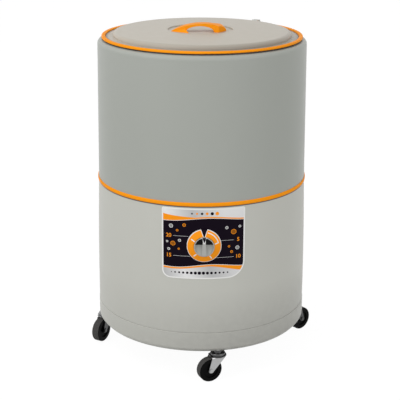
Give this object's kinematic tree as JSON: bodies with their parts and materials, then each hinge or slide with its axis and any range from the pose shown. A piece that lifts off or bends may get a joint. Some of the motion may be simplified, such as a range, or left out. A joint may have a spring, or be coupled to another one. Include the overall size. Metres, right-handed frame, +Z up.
{
  "type": "washing machine",
  "caption": "Round top-loading washing machine with a lift-off lid, a post agitator, a rear drain hose and swivel casters.",
  "frame": {"origin": "on the floor under the middle of the machine", "axes": "+Z up along the axis of the tub, -Y towards the front label"},
  "size_m": [0.6373, 0.6094, 0.9175],
  "materials": {
    "shell_grey": "satin moulded",
    "cool_grey": "satin moulded",
    "lid_grey": "satin moulded",
    "orange_plastic": "satin moulded",
    "tub_white": "satin moulded",
    "light_plastic": "moulded",
    "dark_plastic": "moulded",
    "wheel_plastic": "moulded",
    "label_plastic": "printed film on plastic",
    "black_rubber": "moulded",
    "zinc_steel": "bright zinc plated",
    "bright_steel": "ground",
    "gear_iron": "oiled",
    "painted_plate": "satin paint",
    "cast_alloy": "as cast",
    "bronze": "machined",
    "wound_core": "laminated and varnished"
  },
  "bodies": {
    "cabinet": {"base_pan": "shell_grey", "lower_shell": "shell_grey", "upper_shell": "cool_grey", "joint_screws": "zinc_steel", "trim_band": "orange_plastic", "rim_ring": "orange_plastic", "wash_tub": "tub_white", "drain_strainer": "tub_white", "front_label": "label_plastic", "drive_plate": "painted_plate", "drive_screws": "zinc_steel", "gearbox_cover": "cast_alloy", "gearbox_housing": "cast_alloy", "gearbox_bushes": "bronze", "shaft_seal": "black_rubber", "tub_seal": "black_rubber", "clamp_nut": "tub_white", "counter_shaft": "bright_steel", "motor_housing": "painted_plate", "motor_stator": "wound_core", "run_capacitor": "light_plastic", "capacitor_clamp": "zinc_steel", "drive_belt": "black_rubber", "drain_pipe": "light_plastic", "drain_elbow": "light_plastic", "drain_hose": "light_plastic", "hose_clamps": "zinc_steel", "hose_nozzle": "cool_grey", "hose_hook": "light_plastic", "hose_clip": "light_plastic", "timer_box": "dark_plastic", "timer_dial": "orange_plastic", "timer_screws": "zinc_steel", "cable_gland": "dark_plastic", "caster_sockets": "zinc_steel"},
    "lid": {"lid_shell": "lid_grey", "lid_handle": "orange_plastic", "handle_screws": "zinc_steel"},
    "agitator": {"agitator": "tub_white", "agitator_cap": "tub_white", "agitator_bolt": "bright_steel", "output_shaft": "bright_steel", "output_gear": "gear_iron"},
    "counter": {"counter_gear": "gear_iron"},
    "input": {"input_shaft": "bright_steel", "drive_pulley": "dark_plastic"},
    "rotor": {"motor_rotor": "wound_core", "motor_pulley": "cast_alloy"},
    "knob": {"timer_knob": "shell_grey", "timer_spindle": "bright_steel"},
    "caster_front": {"caster_fork_front": "zinc_steel"},
    "wheel_front": {"caster_wheel_front": "wheel_plastic"},
    "caster_right": {"caster_fork_right": "zinc_steel"},
    "wheel_right": {"caster_wheel_right": "wheel_plastic"},
    "caster_rear": {"caster_fork_rear": "zinc_steel"},
    "wheel_rear": {"caster_wheel_rear": "wheel_plastic"},
    "caster_left": {"caster_fork_left": "zinc_steel"},
    "wheel_left": {"caster_wheel_left": "wheel_plastic"}
  },
  "joints": [
    {"name": "lid_lift", "type": "slide", "parent": "cabinet", "child": "lid", "axis": [0, 0, 1], "range_m": [0, 0.3]},
    {"name": "agitator_spin", "type": "hinge", "parent": "cabinet", "child": "agitator", "pos_m": [0, 0, 0.2], "axis": [0, 0, 1], "continuous": true},
    {"name": "counter_spin", "type": "hinge", "parent": "cabinet", "child": "counter", "pos_m": [0, 0.056, 0.17], "axis": [0, 0, 1], "continuous": true},
    {"name": "input_spin", "type": "hinge", "parent": "cabinet", "child": "input", "pos_m": [0, 0, 0.15], "axis": [0, 0, 1], "continuous": true},
    {"name": "motor_spin", "type": "hinge", "parent": "cabinet", "child": "rotor", "pos_m": [0, -0.165, 0.15], "axis": [0, 0, 1], "continuous": true},
    {"name": "timer_turn", "type": "hinge", "parent": "cabinet", "child": "knob", "pos_m": [0.00154, -0.295, 0.3862], "axis": [-0.0052, 1, 0], "range_deg": [0, 300]},
    {"name": "swivel_front", "type": "hinge", "parent": "cabinet", "child": "caster_front", "pos_m": [0.03984, -0.27311, 0.07], "axis": [0, 0, 1], "continuous": true},
    {"name": "roll_front", "type": "hinge", "parent": "caster_front", "child": "wheel_front", "pos_m": [0.017, -0.28328, 0.033], "axis": [0.4067, -0.9135, 0], "continuous": true},
    {"name": "swivel_right", "type": "hinge", "parent": "cabinet", "child": "caster_right", "pos_m": [0.27311, 0.03984, 0.07], "axis": [0, 0, 1], "continuous": true},
    {"name": "roll_right", "type": "hinge", "parent": "caster_right", "child": "wheel_right", "pos_m": [0.29254, 0.05557, 0.033], "axis": [-0.6293, 0.7771, 0], "continuous": true},
    {"name": "swivel_rear", "type": "hinge", "parent": "cabinet", "child": "caster_rear", "pos_m": [-0.02166, 0.27515, 0.07], "axis": [0, 0, 1], "continuous": true},
    {"name": "roll_rear", "type": "hinge", "parent": "caster_rear", "child": "wheel_rear", "pos_m": [0.00198, 0.28329, 0.033], "axis": [-0.3256, 0.9455, 0], "continuous": true},
    {"name": "swivel_left", "type": "hinge", "parent": "cabinet", "child": "caster_left", "pos_m": [-0.27597, -0.00385, 0.07], "axis": [0, 0, 1], "continuous": true},
    {"name": "roll_left", "type": "hinge", "parent": "caster_left", "child": "wheel_left", "pos_m": [-0.28847, -0.0255, 0.033], "axis": [0.866, -0.5, 0], "continuous": true}
  ],
  "couplings": [
    {"joint": "counter_spin", "follows": "agitator_spin", "ratio": -2.5},
    {"joint": "input_spin", "follows": "agitator_spin", "ratio": 6.25},
    {"joint": "motor_spin", "follows": "agitator_spin", "ratio": 18.75}
  ]
}
